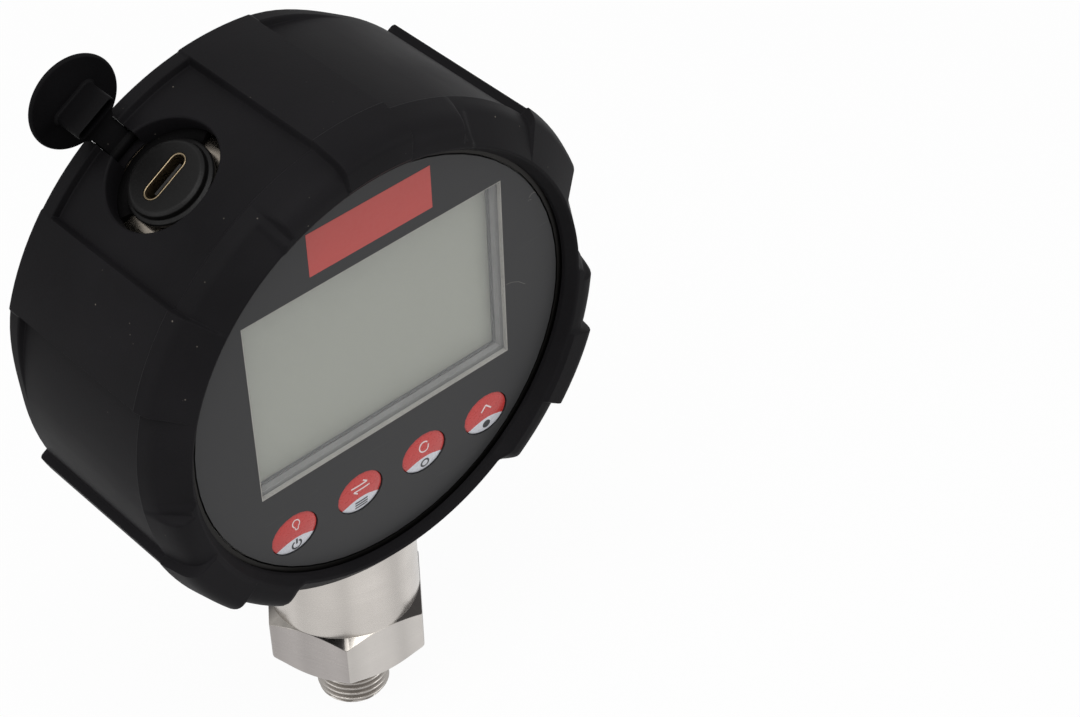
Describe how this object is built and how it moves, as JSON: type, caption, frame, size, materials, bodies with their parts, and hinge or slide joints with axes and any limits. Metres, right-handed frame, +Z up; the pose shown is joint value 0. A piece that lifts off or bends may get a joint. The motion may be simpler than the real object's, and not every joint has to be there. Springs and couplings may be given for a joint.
{
  "type": "digital pressure gauge",
  "caption": "Round digital pressure gauge in a lobed rubber boot, with a display, keys, a plugged USB-C port and a threaded steel process connection below.",
  "frame": {"origin": "on the axis of the process connection, at the sealing face under its hexagon", "axes": "+Z up along the process connection, away from its thread; -Y towards the viewer of the dial; +X to the right as the dial is read"},
  "size_m": [0.091, 0.0405, 0.1433],
  "materials": {
    "boot_rubber": "matte moulded rubber",
    "stainless_steel": "finely turned",
    "front_sheet": "satin printed film",
    "clear_window": "clear",
    "display_glass": "satin display glass",
    "backlight": "diffusing",
    "black_plastic": "fine texture",
    "grey_plastic": "plain",
    "key_gloss": "domed, glossy",
    "plated_shell": "plated",
    "circuit_board": "solder mask",
    "seal_rubber": "plain",
    "battery_wrap": "shrink wrap",
    "cable_jacket": "plain",
    "nut_brass": "plain"
  },
  "bodies": {
    "gauge": {"protective_boot": "boot_rubber", "case_cup": "stainless_steel", "bezel_ring": "stainless_steel", "process_connection": "stainless_steel", "sensor_cell": "stainless_steel", "board_screw_1": "stainless_steel", "board_screw_2": "stainless_steel", "board_screw_3": "stainless_steel", "board_screw_4": "stainless_steel", "front_overlay": "front_sheet", "window_lens": "clear_window", "lcd_glass": "display_glass", "backlight_panel": "backlight", "front_housing": "black_plastic", "processor_chip": "black_plastic", "port_bush": "black_plastic", "usb_insert": "black_plastic", "display_frame": "grey_plastic", "board_connector": "grey_plastic", "battery_cradle": "grey_plastic", "tact_switch_1": "grey_plastic", "tact_switch_2": "grey_plastic", "tact_switch_3": "grey_plastic", "tact_switch_4": "grey_plastic", "usb_shell": "plated_shell", "main_board": "circuit_board", "port_board": "circuit_board", "sensor_board": "circuit_board", "housing_seal": "seal_rubber", "port_seal": "seal_rubber", "stem_seal": "seal_rubber", "sensor_seal": "seal_rubber", "battery_cell": "battery_wrap", "sensor_cable": "cable_jacket", "port_nut": "nut_brass", "stem_nut": "nut_brass", "sensor_retainer": "nut_brass"},
    "key_1": {"key_1": "key_gloss"},
    "key_2": {"key_2": "key_gloss"},
    "key_3": {"key_3": "key_gloss"},
    "key_4": {"key_4": "key_gloss"},
    "port_plug": {"port_plug": "boot_rubber"}
  },
  "joints": [
    {"name": "key_1_press", "type": "slide", "parent": "gauge", "child": "key_1", "axis": [0, 1, 0], "range_m": [0, 0.0004], "stiffness_N_per_m": 2000},
    {"name": "key_2_press", "type": "slide", "parent": "gauge", "child": "key_2", "axis": [0, 1, 0], "range_m": [0, 0.0004], "stiffness_N_per_m": 2000},
    {"name": "key_3_press", "type": "slide", "parent": "gauge", "child": "key_3", "axis": [0, 1, 0], "range_m": [0, 0.0004], "stiffness_N_per_m": 2000},
    {"name": "key_4_press", "type": "slide", "parent": "gauge", "child": "key_4", "axis": [0, 1, 0], "range_m": [0, 0.0004], "stiffness_N_per_m": 2000},
    {"name": "port_plug_swing", "type": "hinge", "parent": "gauge", "child": "port_plug", "pos_m": [-0.02121, 0.01685, 0.11033], "axis": [0.866, 0, 0.5], "range_deg": [0, 90], "stiffness_Nm_per_rad": 0.002}
  ]
}
